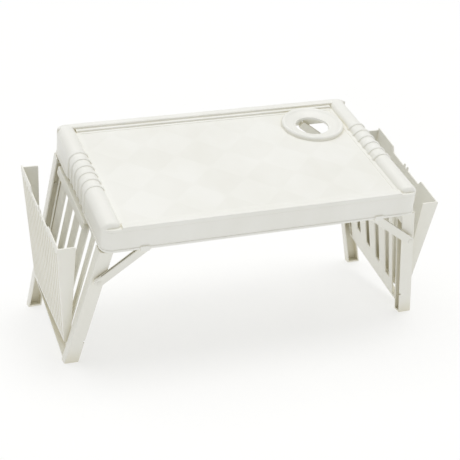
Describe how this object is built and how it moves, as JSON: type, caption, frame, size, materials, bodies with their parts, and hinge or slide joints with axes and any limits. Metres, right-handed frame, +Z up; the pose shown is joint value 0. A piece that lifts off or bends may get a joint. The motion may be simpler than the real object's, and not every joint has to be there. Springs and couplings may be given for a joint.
{
  "type": "folding tray table",
  "caption": "Moulded lap tray with rolled side rails and a cup ring on folding slatted leg frames with braces and side magazine pockets.",
  "frame": {"origin": "on the floor, under the middle of the whole table", "axes": "+X to the user's right, +Y away from the user, +Z up"},
  "size_m": [0.6992, 0.3658, 0.357],
  "materials": {
    "tray_plastic": "off-white moulded plastic, satin",
    "frame_plastic": "off-white moulded plastic, satin",
    "pin_nylon": "cream nylon, smooth"
  },
  "bodies": {
    "tray": {"tray": "tray_plastic"},
    "left_leg": {"left_leg_frame": "frame_plastic", "left_front_leg_pin": "pin_nylon", "left_front_brace_rivet": "pin_nylon", "left_front_pocket_pin": "pin_nylon", "left_back_leg_pin": "pin_nylon", "left_back_brace_rivet": "pin_nylon", "left_back_pocket_pin": "pin_nylon"},
    "left_front_brace": {"left_front_brace": "frame_plastic"},
    "left_back_brace": {"left_back_brace": "frame_plastic"},
    "left_pocket": {"left_pocket": "frame_plastic"},
    "right_leg": {"right_leg_frame": "frame_plastic", "right_front_leg_pin": "pin_nylon", "right_front_brace_rivet": "pin_nylon", "right_front_pocket_pin": "pin_nylon", "right_back_leg_pin": "pin_nylon", "right_back_brace_rivet": "pin_nylon", "right_back_pocket_pin": "pin_nylon"},
    "right_front_brace": {"right_front_brace": "frame_plastic"},
    "right_back_brace": {"right_back_brace": "frame_plastic"},
    "right_pocket": {"right_pocket": "frame_plastic"}
  },
  "joints": [
    {"name": "left_leg_fold", "type": "hinge", "parent": "tray", "child": "left_leg", "pos_m": [-0.266, -0.01154, 0.28087], "axis": [0, -0.9744, -0.225], "range_deg": [0, 101]},
    {"name": "left_front_brace_swing", "type": "hinge", "parent": "left_leg", "child": "left_front_brace", "pos_m": [-0.28212, 0.00475, 0.21028], "axis": [0, 0.9744, 0.225], "range_deg": [0, 138.37]},
    {"name": "left_back_brace_swing", "type": "hinge", "parent": "left_leg", "child": "left_back_brace", "pos_m": [-0.28212, 0.00475, 0.21028], "axis": [0, 0.9744, 0.225], "range_deg": [0, 138.37]},
    {"name": "left_pocket_close", "type": "hinge", "parent": "left_leg", "child": "left_pocket", "pos_m": [-0.3199, 0.04023, 0.05663], "axis": [-0.0136, 0.9877, 0.1561], "range_deg": [0, 16]},
    {"name": "right_leg_fold", "type": "hinge", "parent": "tray", "child": "right_leg", "pos_m": [0.266, -0.01154, 0.28087], "axis": [0, 0.9744, 0.225], "range_deg": [0, 92.5]},
    {"name": "right_front_brace_swing", "type": "hinge", "parent": "right_leg", "child": "right_front_brace", "pos_m": [0.28212, 0.00475, 0.21028], "axis": [0, -0.9744, -0.225], "range_deg": [0, 126.72]},
    {"name": "right_back_brace_swing", "type": "hinge", "parent": "right_leg", "child": "right_back_brace", "pos_m": [0.28212, 0.00475, 0.21028], "axis": [0, -0.9744, -0.225], "range_deg": [0, 126.72]},
    {"name": "right_pocket_close", "type": "hinge", "parent": "right_leg", "child": "right_pocket", "pos_m": [0.3199, 0.04023, 0.05663], "axis": [-0.0136, -0.9877, -0.1561], "range_deg": [0, 16]}
  ],
  "couplings": [
    {"joint": "left_front_brace_swing", "follows": "left_leg_fold", "ratio": 1.37},
    {"joint": "left_back_brace_swing", "follows": "left_leg_fold", "ratio": 1.37},
    {"joint": "right_front_brace_swing", "follows": "right_leg_fold", "ratio": 1.37},
    {"joint": "right_back_brace_swing", "follows": "right_leg_fold", "ratio": 1.37}
  ]
}
